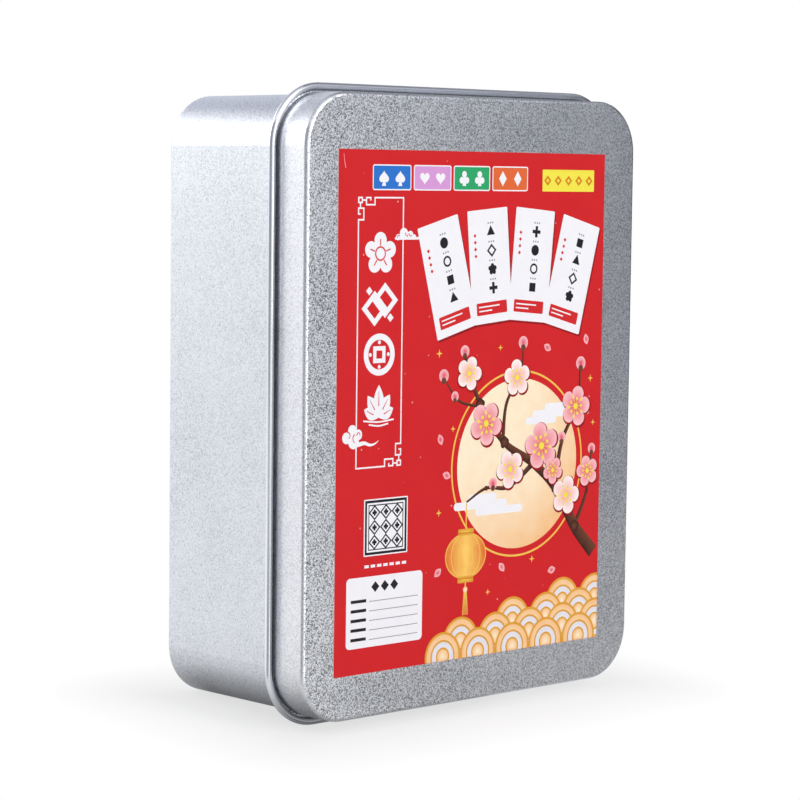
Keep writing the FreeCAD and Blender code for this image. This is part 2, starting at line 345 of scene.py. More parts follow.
# Each ink runs from its first colour to its second where a print asks for it
INKS = {
    "white": ((244, 243, 248), (226, 224, 234)),
    "blue": ((41, 116, 204), (33, 98, 184)),
    "lilac": ((216, 156, 216), (201, 138, 204)),
    "green": ((45, 165, 105), (36, 148, 92)),
    "orange": ((226, 105, 55), (212, 90, 44)),
    "yellow": ((243, 230, 76), (238, 216, 56)),
    "amber": ((214, 132, 28), (196, 112, 22)),
    "black": ((34, 33, 38), (52, 50, 56)),
    "grey": ((150, 148, 154), (170, 168, 174)),
    "shadow": ((150, 20, 26), (186, 30, 36)),
    "red": ((212, 38, 42), (196, 28, 36)),
    "cream": ((255, 238, 208), (248, 196, 140)),
    "gold": ((244, 196, 88), (222, 158, 52)),
    "glow": ((255, 206, 104), (222, 92, 36)),
    "bark": ((112, 66, 46), (58, 28, 24)),
    "pink": ((226, 62, 92), (252, 196, 200)),
    "blush": ((246, 150, 160), (255, 244, 240)),
}
INK_MOTTLE = 3 * MM
INK_UNEVENNESS = 0.12


def ink_material(name, first, second):
    """Printed ink that varies a little, as an offset print does."""
    recipe = Recipe(f"ink_{name}")
    tint = recipe.nodes.new("ShaderNodeAttribute")
    tint.attribute_name = "tint"
    uneven = recipe.spread(recipe.noise(INK_MOTTLE, 4.0), INK_UNEVENNESS)
    share = recipe.math("ADD", tint.outputs["Fac"], uneven)
    colour = recipe.ramp(share, srgb(*first), srgb(*second))
    return recipe.finish(Base_Color=colour, **print_finish(recipe))


CARD_THICKNESS = 0.6 * MM
BOARD_TONES = (srgb(222, 217, 208), srgb(246, 244, 240))
BOARD_FIBRE = 0.2 * MM
BOARD_UNEVENNESS = 0.3
BOARD_ROUGHNESS = (0.42, 0.6)
BOARD_RELIEF = 0.006 * MM


def card_board():
    """White coated board: each card a little different in tone, with a fibrous cut edge."""
    recipe = Recipe("card_board")
    layer = recipe.math("FLOOR", recipe.math("DIVIDE", recipe.split(recipe.place)[1], CARD_THICKNESS))
    random = recipe.nodes.new("ShaderNodeTexWhiteNoise")
    random.noise_dimensions = "1D"
    recipe.put(layer, random.inputs["W"])
    fibre = recipe.noise(BOARD_FIBRE, 4.0)
    tone = recipe.math("ADD", random.outputs["Value"], recipe.spread(fibre, BOARD_UNEVENNESS))
    return recipe.finish(
        Base_Color=recipe.ramp(tone, *BOARD_TONES),
        Roughness=recipe.remap(fibre, *NOISE_RANGE, *BOARD_ROUGHNESS),
        Normal=recipe.bump(fibre, BOARD_RELIEF),
    )


# Prints: a place on a print is a complex number, with u to the right and v up, in millimetres
INK_LAYER = 0.003 * MM
PATCH_RINGS = (0.45, 0.8, 1.0)
PRINT_SHADOW = 0.35 - 0.45j

ink_materials = {name: ink_material(name, *colours) for name, colours in INKS.items()}


def circle(radius, count, place=0):
    return [place + cmath.rect(radius, 2 * math.pi * number / count) for number in range(count)]


def polygon(sides, radius, turn=90):
    """A regular polygon with a corner at the angle turn, in degrees."""
    return [cmath.rect(radius, math.radians(turn) + 2 * math.pi * side / sides) for side in range(sides)]


def lobed(petals, radius, depth, count=80):
    """A flower outline with round petals and notches of that depth, as a share of the radius."""
    outline = []
    for number in range(count):
        angle = 2 * math.pi * number / count
        swell = abs(math.cos(petals * (angle - math.pi / 2) / 2)) ** 0.6
        outline.append(cmath.rect(radius * (1 - depth + depth * swell), angle))
    return outline


def heart(radius, count=48):
    outline = []
    for number in range(count):
        t = 2 * math.pi * number / count
        u = 16 * math.sin(t) ** 3
        v = 13 * math.cos(t) - 5 * math.cos(2 * t) - 2 * math.cos(3 * t) - math.cos(4 * t)
        outline.append(complex(u, v) * radius / 16)
    return outline


def plus(radius, arm):
    """A cross with arms of that half width."""
    corner = [complex(radius, -arm), complex(radius, arm), complex(arm, arm)]
    return [point * 1j ** quarter for quarter in range(4) for point in corner]


def drop(length, width, count=24):
    """A petal from the origin upwards, pointed at both ends."""
    outline = []
    for number in range(count):
        t = 2 * math.pi * number / count
        v = (1 - math.cos(t)) / 2
        outline.append(complex(-width / 2 * math.sin(t) * math.sin(math.pi * v) ** 0.5, length * v))
    return outline


# Corners of a box with sides of 2 round the origin, from the upper right round to the lower right
BOX_CORNERS = (1 + 1j, -1 + 1j, -1 - 1j, 1 - 1j)


def stretched(points, size):
    """Points scaled by a width and by a height."""
    return [complex(point.real * size.real, point.imag * size.imag) for point in points]


def rounded_box(low, high, corner, count=6):
    """A box from its lower left to its upper right corner, with round corners."""
    half = (high - low) / 2 - complex(corner, corner)
    outline = []
    for quarter, centre in enumerate(placed(stretched(BOX_CORNERS, half), (low + high) / 2)):
        for number in range(count + 1):
            angle = math.pi / 2 * (quarter + number / count)
            outline.append(centre + cmath.rect(corner, angle))
    return outline


def placed(points, place, degrees=0.0, scale=1.0):
    """Points turned about the origin, scaled, and moved to a place."""
    turn = cmath.rect(scale, math.radians(degrees))
    return [place + turn * point for point in points]


def arc(centre, radius, start, end, count=16):
    """Points along an arc, with angles in degrees."""
    step = (end - start) / (count - 1)
    return [centre + cmath.rect(radius, math.radians(start + step * number)) for number in range(count)]


def smooth(points, steps=8):
    """A smooth path through points."""
    padded = [2 * points[0] - points[1], *points, 2 * points[-1] - points[-2]]
    path = []
    for a, b, c, d in zip(padded, padded[1:], padded[2:], padded[3:]):
        for step in range(steps):
            t = step / steps
            path.append(
                b + t * (c - a) / 2 + t * t * (a - 2.5 * b + 2 * c - d / 2)
                + t ** 3 * (1.5 * b - 1.5 * c + (d - a) / 2)
            )
    return [*path, points[-1]]


def stroke_edges(path, width, closed):
    """The left and right edges of a stroke with mitred corners.

    A pair of widths is for its start and its end.
    """
    start_width, end_width = width if isinstance(width, tuple) else (width, width)
    left, right = [], []
    for number, here in enumerate(path):
        before = path[number - 1] if number or closed else 2 * here - path[1]
        after = path[(number + 1) % len(path)] if number < len(path) - 1 or closed else 2 * here - before
        arriving = (here - before) / abs(here - before)
        leaving = (after - here) / abs(after - here)
        middle = (arriving + leaving) / abs(arriving + leaving)
        mitre = max(0.5, (middle * arriving.conjugate()).real)
        share = number / (len(path) - 1)
        reach = (start_width + (end_width - start_width) * share) / 2 / mitre * middle * 1j
        left.append(here + reach)
        right.append(here - reach)
    return left, right


def flat(place, share):
    """The first colour of an ink all over."""
    return 0.0


def outward(place, share):
    """From an ink's first colour in the middle to its second at the rim."""
    return share


class Print:
    """One printed motif: thin closed plates of ink that lie in layers on a flat front face."""

    def __init__(self, name, origin, body, slot):
        self.name = name
        self.origin = origin
        self.body = body
        self.slot = slot
        self.points = []
        self.tints = []
        self.faces = []
        self.face_inks = []
        self.inks = []

    def point(self, place, level, tint=0.0):
        ahead = Vector((place.real * MM, -level * INK_LAYER, place.imag * MM))
        self.points.append(self.origin + ahead)
        self.tints.append(tint)
        return len(self.points) - 1

    def face(self, ink, *points):
        if ink not in self.inks:
            self.inks.append(ink)
        self.faces.append(points)
        self.face_inks.append(self.inks.index(ink))

    def patch(self, outline, ink, level, centre=None, shade=flat):
        """A plate inside an outline, whose points can all be seen from its centre."""
        centre = sum(outline) / len(outline) if centre is None else centre
        spans = zip(outline, outline[1:] + outline[:1])
        if sum(((a - centre).conjugate() * (b - centre)).imag for a, b in spans) < 0:
            outline = outline[::-1]
        rings = []
        for share in PATCH_RINGS:
            places = [centre + share * (corner - centre) for corner in outline]
            rings.append([self.point(place, level + 1, shade(place, share)) for place in places])
        middle = self.point(centre, level + 1, shade(centre, 0.0))
        back = [self.point(corner, level) for corner in outline]
        back_middle = self.point(centre, level)
        for here in range(len(outline)):
            after = (here + 1) % len(outline)
            self.face(ink, middle, rings[0][here], rings[0][after])
            for inner, outer in zip(rings, rings[1:]):
                self.face(ink, inner[here], outer[here], outer[after], inner[after])
            self.face(ink, rings[-1][here], back[here], back[after], rings[-1][after])
            self.face(ink, back_middle, back[after], back[here])

    def stroke(self, path, width, ink, level, closed=False, tints=(0.0, 0.0, 0.0)):
        """A plate along a path. Its tints are at the left edge, the middle and the right edge."""
        sections = []
        for left, right in zip(*stroke_edges(path, width, closed)):
            across = (left, (left + right) / 2, right)
            front = [self.point(place, level + 1, tint) for place, tint in zip(across, tints)]
            sections.append([*front, self.point(right, level), self.point(left, level)])
        followers = sections[1:] + (sections[:1] if closed else [])
        for here, after in zip(sections, followers):
            for number in range(len(here)):
                other = (number + 1) % len(here)
                self.face(ink, here[number], here[other], after[other], after[number])
        if not closed:
            self.face(ink, *reversed(sections[0]))
            self.face(ink, *sections[-1])

    def build(self):
        mesh = bpy.data.meshes.new(self.name)
        mesh.from_pydata(self.points, [], self.faces)
        mesh.polygons.foreach_set("material_index", self.face_inks)
        mesh.attributes.new("tint", "FLOAT", "POINT").data.foreach_set("value", self.tints)
        for ink in self.inks:
            mesh.materials.append(ink_materials[ink])
        piece = add_object(self.name, mesh)
        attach(piece, self.body)


# The label's print, placed from the label's lower left corner
LABEL_WIDTH = (label_high.x - label_low.x) / MM

# Tags along the label's top, and the suits on them
TAG_INKS = ("blue", "lilac", "green", "orange")
TAG_CORNER = 0.5
TAG_BORDER = 0.24
TAG_SIZE = 10.1 + 4.9j
FIRST_TAG = 8.75 + 92.75j
TAG_STEP = 10.75
PIP_RADIUS = 1.25
PIP_ASIDE = 0.21 * TAG_SIZE.real
# Suits of unit radius
SPADE_STEM = (-0.2j, -1.3j)
CLUB_STEM = (0.3j, -1.2j)
CLUB_REACH = 0.62
CLUB_LOBE = 0.52
DIAMOND = (0.85 + 0j, 1.2j, -0.85 + 0j, -1.2j)
# Widths of the stems at the top and at the foot
SPADE_STEM_WIDTHS = (0.2, 1.1)
CLUB_STEM_WIDTHS = (0.3, 1.0)
# The yellow tag, with lozenges one on the other
YELLOW_TAG = (55.35 + 92.75j, 70.65 + 97.15j)
YELLOW_CORNER = 0.2
LOZENGE_COUNT = 5
LOZENGE_RADII = {"amber": 1.05, "yellow": 0.45}


def suit_pip(tag, ink, place):
    """A white playing-card suit, one for each tag."""
    if ink == "blue":
        tag.patch(placed(heart(PIP_RADIUS), place, 180), "white", 2)
        tag.stroke(placed(SPADE_STEM, place, scale=PIP_RADIUS), SPADE_STEM_WIDTHS, "white", 3)
    elif ink == "lilac":
        tag.patch(placed(heart(PIP_RADIUS), place), "white", 2)
    elif ink == "green":
        for number, lobe in enumerate(polygon(3, CLUB_REACH * PIP_RADIUS)):
            tag.patch(circle(CLUB_LOBE * PIP_RADIUS, 20, place + lobe), "white", 2 + number)
        tag.stroke(placed(CLUB_STEM, place, scale=PIP_RADIUS), CLUB_STEM_WIDTHS, "white", 5)
    else:
        tag.patch(placed(DIAMOND, place, scale=PIP_RADIUS), "white", 2)


def print_tags(tags):
    border = complex(TAG_BORDER, TAG_BORDER)
    for number, ink in enumerate(TAG_INKS):
        low = FIRST_TAG + number * TAG_STEP
        high = low + TAG_SIZE
        tags.patch(rounded_box(low, high, TAG_CORNER), "white", 0)
        tags.patch(rounded_box(low + border, high - border, TAG_CORNER - TAG_BORDER), ink, 1)
        for side in (-1, 1):
            suit_pip(tags, ink, (low + high) / 2 + side * PIP_ASIDE)
    low, high = YELLOW_TAG
    tags.patch(rounded_box(low, high, YELLOW_CORNER), "yellow", 0)
    step = (high.real - low.real) / LOZENGE_COUNT
    for number in range(LOZENGE_COUNT):
        place = complex(low.real + step * (number + 0.5), (low.imag + high.imag) / 2)
        for level, (ink, radius) in enumerate(LOZENGE_RADII.items(), start=1):
            tags.patch(placed(polygon(4, radius), place), ink, level)


# The traditional fret frame: a hook at two of its corners, and a ring with two links at the others
FRAME_LOW = 5.04 + 39.66j
FRAME_HIGH = 17.0 + 91.48j
FRAME_LINE = 0.3
FRET_HOOK = (3.1 + 0.55j, 3.1 + 0j, 2.0 + 0j, 2.0 + 1.34j, 4.2 + 1.34j, 4.2 + 0j)
FRET_RING = (0j, 0.92 + 0j, 0.92 - 0.92j, -0.92j)
FRET_LINKS = ((0.92 - 0.46j, 2.0 - 0.46j), (0.46 - 0.92j, 0.46 - 2.0j))


def print_frame(fret):
    size = FRAME_HIGH - FRAME_LOW - complex(FRAME_LINE, FRAME_LINE)
    middle = (FRAME_LOW + FRAME_HIGH) / 2
    upper_left = complex(-size.real, size.imag) / 2
    along_top = [upper_left + point.conjugate() for point in FRET_HOOK]
    up_right_side = [point * 1j - upper_left for point in FRET_HOOK]
    half_frame = [*along_top, size / 2, *reversed(up_right_side)]
    ring = placed(FRET_RING, upper_left)
    for degrees in (0, 180):
        fret.stroke(placed(half_frame, middle, degrees), FRAME_LINE, "white", 0)
        fret.stroke(placed(ring, middle, degrees), FRAME_LINE, "white", 0, closed=True)
        for link in FRET_LINKS:
            fret.stroke(placed(placed(link, upper_left), middle, degrees), FRAME_LINE, "white", 1)


# Clouds: lobes with place and radius, and curls with place, radius and the angles where they start and end
SMALL_CLOUD = 14.65 + 83.3j
SMALL_BASE = 6.5 + 0.5j
SMALL_LOBES = (
    (2.4 + 1.2j, 1.08), (0.9 + 0.5j, 0.6), (4.1 + 0.95j, 0.76), (5.1 + 0.5j, 0.52),
)
SMALL_CURLS = (
    (3.2 + 1.15j, 0.36, 150, 360), (4.2 + 1.0j, 0.34, 150, 360), (0.95 + 0.55j, 0.28, 20, 230),
)
SWIRL_CLOUD = 4.3 + 45.88j
SWIRL_LOBES = (
    (-1.6 - 0.1j, 1.13), (-0.15 + 1.25j, 1.1), (1.33 + 0.38j, 1.05), (0.2 - 0.95j, 1.35),
)
SWIRL_CURLS = (
    (-1.35 + 0.38j, 0.62, 100, -70), (0.88 - 0.3j, 0.87, 115, 245), (1.45 + 0.4j, 0.38, 200, -30),
)
SWIRL_TAIL = (
    0.5 - 1.5j, 1.7 - 1.45j, 3.0 - 1.3j, 4.2 - 1.7j, 5.2 - 1.7j, 6.05 - 1.4j, 6.65 - 1.0j,
)
SMALL_CORNER = 0.24
SMALL_CURL_WIDTH = 0.2
SWIRL_CURL_WIDTH = 0.26
# Widths of the tail at its start and at its end
TAIL_WIDTHS = (1.0, 0.1)


def cloud_lobes(clouds, cloud, lobes, level):
    for number, (centre, radius) in enumerate(lobes):
        clouds.patch(circle(radius, 32, cloud + centre), "white", level + number)


def cloud_curls(clouds, cloud, curls, width, level):
    for centre, radius, start, end in curls:
        curl = arc(cloud + centre, radius, start, end)
        clouds.stroke(curl, (width, width / 2), "red", level)


def print_clouds(clouds):
    """A small flat-bottomed cloud at the frame's right side, and a curled one with a tail at its left."""
    cloud_lobes(clouds, SMALL_CLOUD, SMALL_LOBES, 2)
    clouds.patch(rounded_box(SMALL_CLOUD, SMALL_CLOUD + SMALL_BASE, SMALL_CORNER), "white", 6)
    cloud_curls(clouds, SMALL_CLOUD, SMALL_CURLS, SMALL_CURL_WIDTH, 7)
    cloud_lobes(clouds, SWIRL_CLOUD, SWIRL_LOBES, 8)
    clouds.stroke(smooth(placed(SWIRL_TAIL, SWIRL_CLOUD)), TAIL_WIDTHS, "white", 12)
    cloud_curls(clouds, SWIRL_CLOUD, SWIRL_CURLS, SWIRL_CURL_WIDTH, 13)


# White ornaments down the frame
MEDALLION_U = 10.95
MEDALLION_HEIGHTS = (80.7, 71.0, 61.4, 51.9)
MEDALLION_RADIUS = 4.2
RING_LINE = 0.3
STAMEN_LINE = 0.26
VEIN_WIDTHS = (0.24, 0.1)
RIPPLE_LINE = 0.32
# The lotus: the tilts of its petals, and the depth and half the length of its ripples
LOTUS_TILTS = (-66, 66, -34, 34, 0)
LOTUS_RIPPLES = ((0.12, 0.95), (0.3, 0.6))
RIPPLE_SAG = 0.08


def blossom_ornament(ornament, place, radius):
    """A blossom with five round petals, and with a ring and stamens in red."""
    petal = circle(0.38 * radius, 28)
    ring = circle(0.3 * radius, 28, place)
    for level, spot in enumerate(polygon(5, 0.6 * radius)):
        ornament.patch(placed(petal, place + spot), "white", level)
    ornament.patch(ring, "white", 5)
    ornament.stroke(ring, RING_LINE, "red", 6, closed=True)
    for way in polygon(5, radius):
        ornament.stroke([place + 0.36 * way, place + 0.66 * way], STAMEN_LINE, "red", 6)


def lozenge_ornament(ornament, place, radius):
    """Two linked lozenges with a small one at each side."""
    ring = polygon(4, 0.64 * radius)
    small = polygon(4, 0.2 * radius)
    for level, side in enumerate((-radius, radius)):
        linked = placed(ring, place + side * (0.32 + 0.18j))
        ornament.stroke(linked, 0.24 * radius, "white", level, closed=True)
        ornament.patch(placed(small, place + side * (-0.66 + 0.62j)), "white", 0)


def coin_ornament(ornament, place, radius):
    """A round coin with a square hole and four dots."""
    rim = circle(0.82 * radius, 48, place)
    hole = placed(polygon(4, 0.4 * radius, 45), place)
    dot = circle(0.09 * radius, 16)
    ornament.stroke(rim, 0.28 * radius, "white", 0, closed=True)
    ornament.stroke(hole, 0.2 * radius, "white", 0, closed=True)
    for spot in polygon(4, 0.56 * radius):
        ornament.patch(placed(dot, place + spot), "white", 0)


def lotus_ornament(ornament, place, radius):
    """A lotus with five pointed petals over two ripples."""
    base = place - 0.62j * radius
    for level, degrees in enumerate(LOTUS_TILTS):
        length = radius * (1.5 - abs(degrees) / 130)
        ornament.patch(placed(drop(length, 0.62 * radius), base, degrees), "white", level)
        vein = placed((0.35j * length, 0.8j * length), base, degrees)
        ornament.stroke(vein, VEIN_WIDTHS, "red", 5)
    for below, half in LOTUS_RIPPLES:
        ripple = (complex(-half, -below), complex(0, -below - RIPPLE_SAG), complex(half, -below))
        ornament.stroke(smooth(placed(ripple, base, scale=radius)), RIPPLE_LINE, "white", 0)


def print_medallions(medallions):
    """Four traditional ornaments down the frame."""
    ornaments = (blossom_ornament, lozenge_ornament, coin_ornament, lotus_ornament)
    for ornament, v in zip(ornaments, MEDALLION_HEIGHTS):
        ornament(medallions, complex(MEDALLION_U, v), MEDALLION_RADIUS)


# Plain geometric signs of unit radius: outline, width of its line if it isn't filled, and if it turns
CARD_SIGNS = (
    (circle(1, 28), 0, False),
    (circle(0.82, 28), 0.36, False),
    (polygon(4, 1.15, 45), 0, True),
    (polygon(3, 1.2), 0, True),
    (polygon(4, 0.98), 0.36, True),
    (lobed(5, 1.1, 0.4, 50), 0, True),
    (plus(1.05, 0.32), 0, True),
)
# The face of a game card: a column of signs with dots over them, marks beside it, and a bar with two lines.
# All is in shares of its height, but the marks' distance aside and the bar's reach are of its width.
SIGN_COUNT = 4
SIGN_RADIUS = 0.048
FIRST_SIGN = 0.03 + 0.30j
SIGN_STEP = 0.165j
SIGN_DOTS = (-0.028 + 0.078j, 0.078j, 0.028 + 0.078j)
DOT_RADIUS = 0.009
MARK_RADIUS = 0.018
MARK_ASIDE = -0.34
FIRST_MARK = 0.28
MARK_STEP = 0.06
BAR_HALF = 0.38 + 0.055j
BAR_DROP = 0.37j
BAR_CORNER = 0.012
# Lines on the bar: height from its middle, and length as a share of the room for it
BAR_LINES = ((0.018, 0.8), (-0.018, 0.5))
BAR_ROOM = 0.85
BAR_LINE = 0.012


def card_sign(card, number, place, degrees, radius, level):
    outline, line, turns = CARD_SIGNS[number % len(CARD_SIGNS)]
    sign = placed(outline, place, degrees if turns else 0, radius)
    if line:
        card.stroke(sign, line * radius, "black", level, closed=True)
    else:
        card.patch(sign, "black", level)


def card_face(card, number, place, degrees, size, level):
    """Print a card's face at a place. Its last sign is the first of the next card, like links of a chain."""
    height = size.imag
    shape = size.real / height
    turn = cmath.rect(height, math.radians(degrees))
    for row in range(SIGN_COUNT):
        spot = FIRST_SIGN - SIGN_STEP * row
        sign = number * (SIGN_COUNT - 1) + row
        card_sign(card, sign, place + turn * spot, degrees, SIGN_RADIUS * height, level)
        for dot in SIGN_DOTS:
            card.patch(circle(DOT_RADIUS * height, 10, place + turn * (spot + dot)), "grey", level)
        mark = complex(MARK_ASIDE * shape, FIRST_MARK - MARK_STEP * row)
        card.patch(placed(polygon(4, MARK_RADIUS), place + turn * mark, degrees, height), "red", level)
    middle = place - turn * BAR_DROP
    half = complex(BAR_HALF.real * shape, BAR_HALF.imag)
    card.patch(placed(rounded_box(-half, half, BAR_CORNER), middle, degrees, height), "red", level)
    room = BAR_ROOM * half.real
    for rise, share in BAR_LINES:
        line = (complex(-room, rise), complex(2 * share * room - room, rise))
        card.stroke(placed(line, middle, degrees, height), BAR_LINE * height, "white", level + 1)


# The fan, whose cards turn about a centre
FAN_CENTRE = 46.6 + 10.0j
FAN_RADIUS = 68.2
FAN_TILTS = (15.0, 5.0, -5.0, -15.0)
FAN_CARD = 11.2 + 22.6j
FAN_CORNER = 0.3
FAN_LAYERS = 4


def print_card_fan(fan):
    """Four white game cards fanned out under the tags."""
    outline = rounded_box(-FAN_CARD / 2, FAN_CARD / 2, FAN_CORNER)
    for number, tilt in enumerate(FAN_TILTS):
        level = FAN_LAYERS * number
        place = FAN_CENTRE + FAN_RADIUS * 1j * cmath.rect(1, math.radians(tilt))
        fan.patch(placed(outline, place + PRINT_SHADOW, tilt), "shadow", level)
        fan.patch(placed(outline, place, tilt), "white", level + 1)
        card_face(fan, number, place, tilt, FAN_CARD, level + 2)


# The lattice tile: a border has a share of the tile's size and a width
LATTICE_LOW = 7.45 + 22.65j
LATTICE_HIGH = 18.95 + 33.65j
LATTICE_CORNER = 0.2
LATTICE_BORDERS = ((0.91, 0.5), (0.78, 0.22))
LATTICE_INSIDE = 0.78
LATTICE_CELLS = 3
LATTICE_LOZENGE = 0.9
LATTICE_LINE = 0.3
ROSETTE_RADIUS = 0.62
ROSETTE_NOTCH = 0.45
# The row of dashes below it
DASH_COUNT = 7
DASH_V = 20.7
DASH_GAP = 0.5
DASH_WIDTH = 0.55


def print_lattice(lattice):
    """A small white tile with a window lattice in black, over a row of plain dashes."""
    size = LATTICE_HIGH - LATTICE_LOW
    middle = (LATTICE_LOW + LATTICE_HIGH) / 2
    lattice.patch(rounded_box(LATTICE_LOW, LATTICE_HIGH, LATTICE_CORNER), "white", 0)
    for share, width in LATTICE_BORDERS:
        border = placed(stretched(BOX_CORNERS, size * share / 2), middle)
        lattice.stroke(border, width, "black", 1, closed=True)
    cell = size * LATTICE_INSIDE / LATTICE_CELLS
    lozenge = stretched(polygon(4, LATTICE_LOZENGE / 2, 0), cell)
    rosette = lobed(4, ROSETTE_RADIUS, ROSETTE_NOTCH, 32)
    for row in range(LATTICE_CELLS):
        for column in range(LATTICE_CELLS):
            place = middle + complex(cell.real * (column - 1), cell.imag * (row - 1))
            lattice.stroke(placed(lozenge, place), LATTICE_LINE, "black", 1, closed=True)
            lattice.patch(placed(rosette, place), "black", 1)
    step = size.real / DASH_COUNT
    for number in range(DASH_COUNT):
        start = complex(LATTICE_LOW.real + number * step + DASH_GAP / 2, DASH_V)
        lattice.stroke([start, start + step - DASH_GAP], DASH_WIDTH, "white", 0)


# The panel, whose rows have a thick dash and a thin rule
PANEL_LOW = 3.05 + 5.05j
PANEL_HIGH = 23.15 + 18.75j
PANEL_CORNER = 0.9
PANEL_MARGIN = 1.2
HEADING_DROP = 2.1
HEADING_RADIUS = 1.05
HEADING_STEP = 2.5
PANEL_ROWS = 5
FIRST_ROW = 2.5
ROW_STEP = 1.85
ROW_DASH = 4.0
ROW_DASH_WIDTH = 0.62
RULE_ASIDE = 4.8
RULE_DROP = 0.25
RULE_WIDTH = 0.16


def print_panel(panel):
    """A white panel with a heading ornament and blank ruled lines."""
    panel.patch(rounded_box(PANEL_LOW, PANEL_HIGH, PANEL_CORNER), "white", 0)
    middle = (PANEL_LOW.real + PANEL_HIGH.real) / 2
    heading = PANEL_HIGH.imag - HEADING_DROP
    for side in (-1, 0, 1):
        place = complex(middle + HEADING_STEP * side, heading)
        panel.patch(placed(polygon(4, HEADING_RADIUS), place), "black", 1)
    for row in range(PANEL_ROWS):
        start = complex(PANEL_LOW.real + PANEL_MARGIN, heading - FIRST_ROW - ROW_STEP * row)
        end = complex(PANEL_HIGH.real - PANEL_MARGIN, start.imag - RULE_DROP)
        panel.stroke([start, start + ROW_DASH], ROW_DASH_WIDTH, "black", 1)
        panel.stroke([complex(start.real + RULE_ASIDE, end.imag), end], RULE_WIDTH, "grey", 1)


# The picture: a plum branch in flower before a full moon, a lantern, and waves below
MOON = 49.5 + 38.0j
MOON_RADIUS = 17.2
MIST_ROUNDING = 0.49

# Bands of mist across the moon: lower left corner, length and height
MIST = (
    (31.5 + 29.6j, 15.0, 1.6), (35.5 + 31.0j, 8.0, 1.6), (37.5 + 28.2j, 13.5, 1.6),
    (53.5 + 47.0j, 17.0, 1.5), (57.0 + 48.3j, 9.5, 1.5), (51.5 + 45.7j, 9.0, 1.5),
)
# The moon's rim: its mean shade, and how much it darkens to the right and downwards
RIM_SHADE = 0.45
RIM_RIGHT = 0.4
RIM_DOWN = 0.45
MOON_RING_GAP = 1.5
MOON_RING_LINE = 0.4


def moon_shade(place, share):
    """Darker towards the moon's lower right rim."""
    across = (place - MOON) / MOON_RADIUS
    return max(0.0, share * (RIM_SHADE + RIM_RIGHT * across.real - RIM_DOWN * across.imag))


def print_moon(moon):
    ring = circle(MOON_RADIUS + MOON_RING_GAP, 96, MOON)
    moon.stroke(ring, MOON_RING_LINE, "gold", 0, closed=True)
    moon.patch(circle(MOON_RADIUS, 96, MOON), "cream", 0, shade=moon_shade)
    for level, (start, length, height) in enumerate(MIST):
        high = start + complex(length, height)
        moon.patch(rounded_box(start, high, MIST_ROUNDING * height), "white", 1 + level)


# Branches: their width at the start and at the end, and the places that they pass
BRANCHES = (
    (3.0, 0.7, (72.2 + 18.2j, 66.5 + 24j, 60.5 + 32.5j, 53.5 + 38j, 45.5 + 42.5j, 38.5 + 50.5j, 34 + 60.5j)),
    (1.3, 0.4, (60.5 + 32.5j, 62.2 + 41.5j, 66.8 + 49.5j, 67.5 + 57j)),
    (1.2, 0.4, (54 + 37.8j, 47 + 33.5j, 40.5 + 33.6j, 35 + 31.2j)),
    (1.0, 0.35, (45 + 42.8j, 46 + 50.5j, 50 + 56j, 50.5 + 62j)),
    (1.1, 0.35, (66.5 + 24j, 70 + 31j, 71.2 + 39j)),
    (0.7, 0.3, (38.8 + 50j, 32.5 + 51.5j, 28.5 + 56j)),
)
# Tints across a branch, and its knots: their share of its width, their notches and their turn
BARK_TINTS = (1.0, 0.45, 0.0)
KNOT_SHARE = 0.44
KNOT_NOTCH = 0.25
KNOT_TURN = 31


def print_branch(branch):
    for number, (width, end_width, points) in enumerate(BRANCHES):
        branch.stroke(smooth(points), (width, end_width), "bark", 8 - number, tints=BARK_TINTS)
        for joint in points[1:-1]:
            knot = placed(lobed(5, KNOT_SHARE * width, KNOT_NOTCH, 24), joint, KNOT_TURN * number)
            branch.patch(knot, "bark", 9, shade=outward)


# Blossoms: place, radius, turn in degrees and ink
BLOSSOMS = (
    (56.3 + 41.2j, 4.8, 10, "pink"), (40.2 + 46.6j, 4.4, 40, "pink"),
    (66.2 + 48.8j, 4.2, -15, "pink"), (47.2 + 37.0j, 3.9, 25, "blush"),
    (48.8 + 55.4j, 3.7, 5, "blush"), (63.6 + 30.6j, 4.0, 55, "blush"),
    (70.0 + 35.2j, 3.2, 15, "pink"), (35.2 + 56.8j, 3.4, -20, "blush"),
    (59.6 + 36.0j, 2.8, 35, "pink"),
)
# Buds: place and radius
BUDS = (
    (34.0 + 61.2j, 1.2), (28.3 + 56.6j, 1.3), (50.5 + 62.4j, 1.3), (67.6 + 57.6j, 1.4),
    (71.3 + 39.8j, 1.1), (62.2 + 42.6j, 1.2), (42.4 + 34.4j, 1.2), (31.4 + 52.4j, 1.0),
)
# Petals in the air: place and turn in degrees
LOOSE_PETALS = (
    (28.0 + 43.0j, 20), (30.5 + 36.5j, 70), (28.2 + 18.5j, 130), (46.0 + 16.4j, 40),
    (61.0 + 15.6j, 100), (69.4 + 61.4j, 15), (58.6 + 60.6j, 60),
)
# Parts of a blossom, mostly as shares of its radius
PETAL_NOTCH = 0.36
BLOSSOM_SHADOW = 1.06
STAMENS = 10
STAMEN_REACHES = (0.38, 0.5)
STAMEN_START = 0.3
STAMEN_WIDTH = 0.14
ANTHER = 0.075
BLOSSOM_EYE = 0.15
BUD_CUP = 0.5
BUD_CUP_DROP = 0.75
BLOSSOM_LAYERS = 4
FIRST_BLOSSOM_LAYER = 12
LOOSE_PETAL_LENGTH = 2.3
LOOSE_PETAL_WIDTH = 1.5


